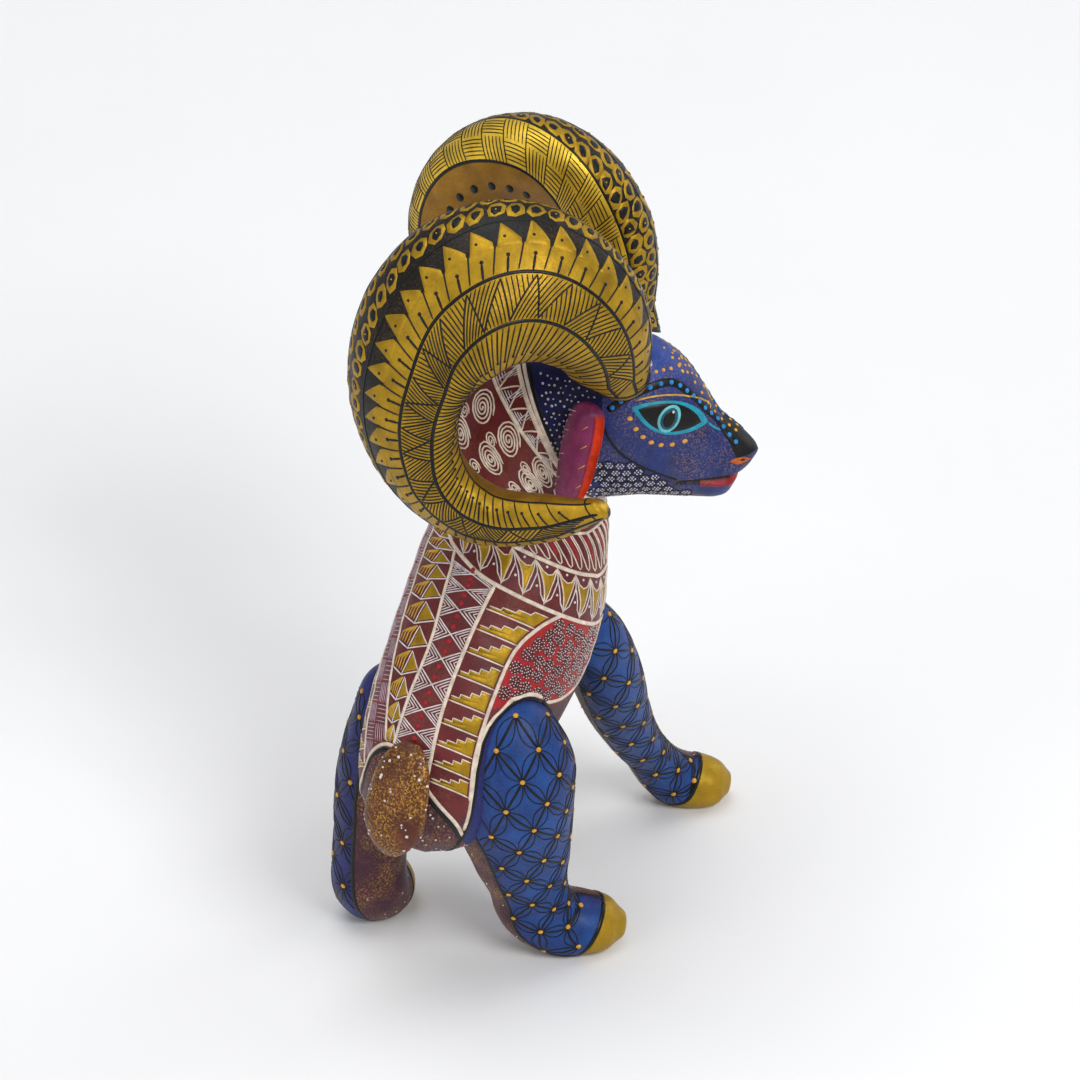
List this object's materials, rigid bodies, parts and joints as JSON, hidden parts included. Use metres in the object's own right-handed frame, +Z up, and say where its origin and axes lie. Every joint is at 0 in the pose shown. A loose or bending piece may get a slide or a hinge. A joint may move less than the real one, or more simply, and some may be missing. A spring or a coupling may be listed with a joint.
{
  "type": "carved ram figure",
  "caption": "Hand-carved and painted wooden sitting ram with large curled horns, made as separate carved pieces on dowels; stands free on its feet.",
  "frame": {"origin": "On the ground under the middle of the figure, at the centre of its overall box and level with its soles.", "axes": "+Z up. The head looks along -Y and its right side is on -X. The body is turned 68 degrees anticlockwise from the head, seen from above, so its chest faces mostly along +X."},
  "size_m": [0.1324, 0.1078, 0.2219],
  "materials": {
    "body_paint": "satin",
    "blue_paint": "satin",
    "gold_paint": "satin",
    "ear_paint": "satin",
    "tail_paint": "satin",
    "bare_wood": "matte"
  },
  "bodies": {
    "figure": {"torso": "body_paint", "head": "blue_paint", "right_front_leg": "blue_paint", "left_front_leg": "blue_paint", "right_hind_leg": "blue_paint", "left_hind_leg": "blue_paint", "neck_dowel": "bare_wood", "right_front_dowel": "bare_wood", "left_front_dowel": "bare_wood", "right_hind_dowel": "bare_wood", "left_hind_dowel": "bare_wood"},
    "right_horn_piece": {"right_horn": "gold_paint", "right_horn_dowel": "bare_wood"},
    "left_horn_piece": {"left_horn": "gold_paint", "left_horn_dowel": "bare_wood"},
    "right_ear_piece": {"right_ear": "ear_paint", "right_ear_peg": "bare_wood"},
    "left_ear_piece": {"left_ear": "ear_paint", "left_ear_peg": "bare_wood"},
    "tail_piece": {"tail": "tail_paint", "tail_peg": "bare_wood"}
  },
  "joints": [
    {"name": "right_horn_pull", "type": "slide", "parent": "figure", "child": "right_horn_piece", "axis": [-0.5013, -0.1504, 0.8521], "range_m": [0, 0.02]},
    {"name": "left_horn_pull", "type": "slide", "parent": "figure", "child": "left_horn_piece", "axis": [0.5013, -0.1504, 0.8521], "range_m": [0, 0.02]},
    {"name": "right_ear_pull", "type": "slide", "parent": "figure", "child": "right_ear_piece", "axis": [-0.9505, 0.3002, 0.08], "range_m": [0, 0.01]},
    {"name": "left_ear_pull", "type": "slide", "parent": "figure", "child": "left_ear_piece", "axis": [0.9505, 0.3002, 0.08], "range_m": [0, 0.01]},
    {"name": "tail_pull", "type": "slide", "parent": "figure", "child": "tail_piece", "axis": [-0.8719, 0.3523, 0.3401], "range_m": [0, 0.016]}
  ]
}
